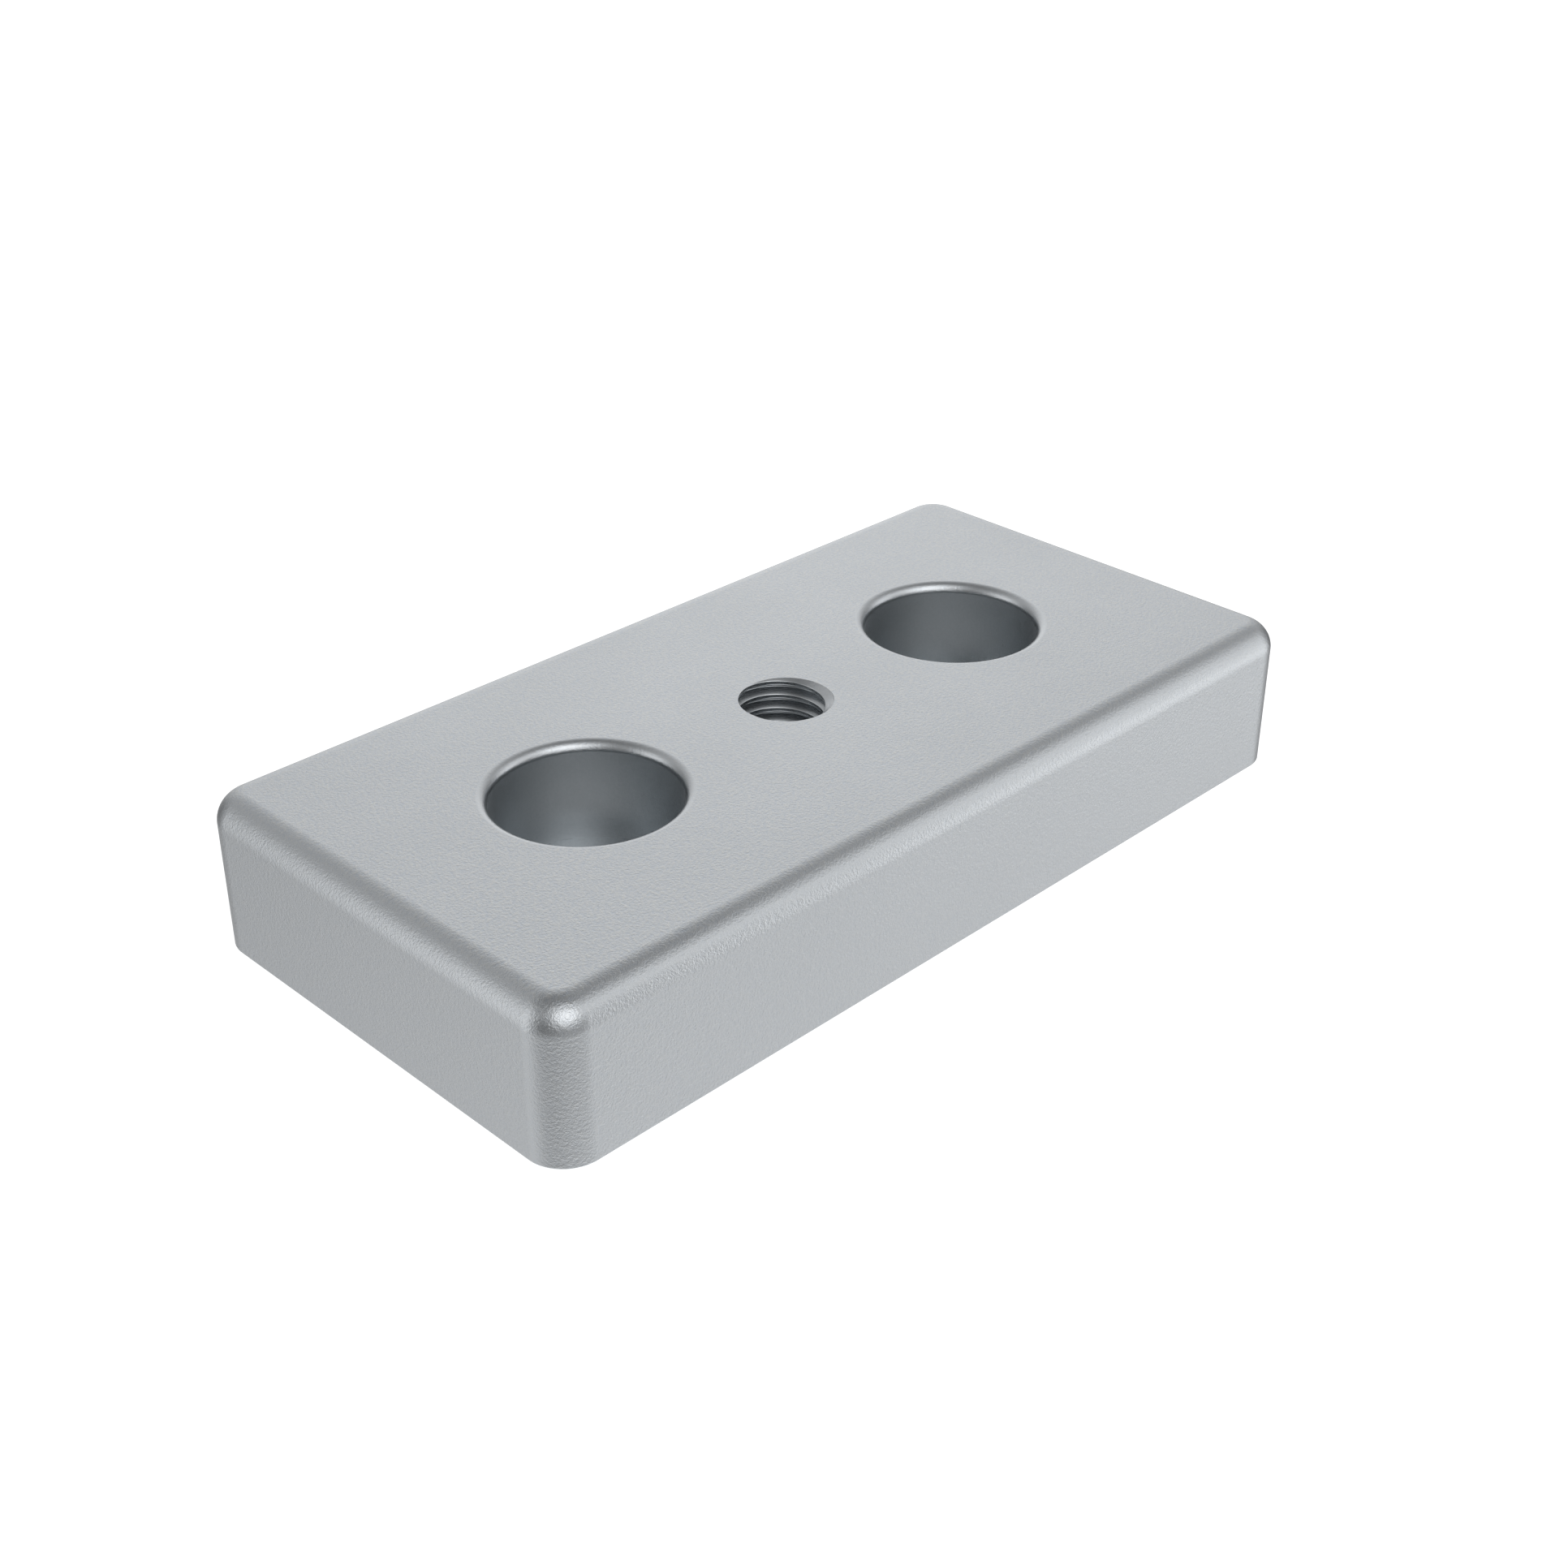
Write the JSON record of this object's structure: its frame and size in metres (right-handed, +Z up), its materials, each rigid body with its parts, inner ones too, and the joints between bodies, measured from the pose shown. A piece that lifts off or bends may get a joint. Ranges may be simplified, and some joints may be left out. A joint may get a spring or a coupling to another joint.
{
  "type": "base plate",
  "caption": "Oblong cast base plate for an aluminium profile end, with sunk screw holes and a central thread for a levelling foot or castor.",
  "frame": {"origin": "middle of the flat underside, which seats on the profile's end face", "axes": "+X along the length, through both screw holes; +Y across the width; +Z up, out of the rounded face"},
  "size_m": [0.1, 0.05, 0.0159],
  "materials": {
    "cast_zinc": "satin, fine as-cast grain"
  },
  "bodies": {
    "root": {"base_plate": "cast_zinc"}
  },
  "joints": []
}
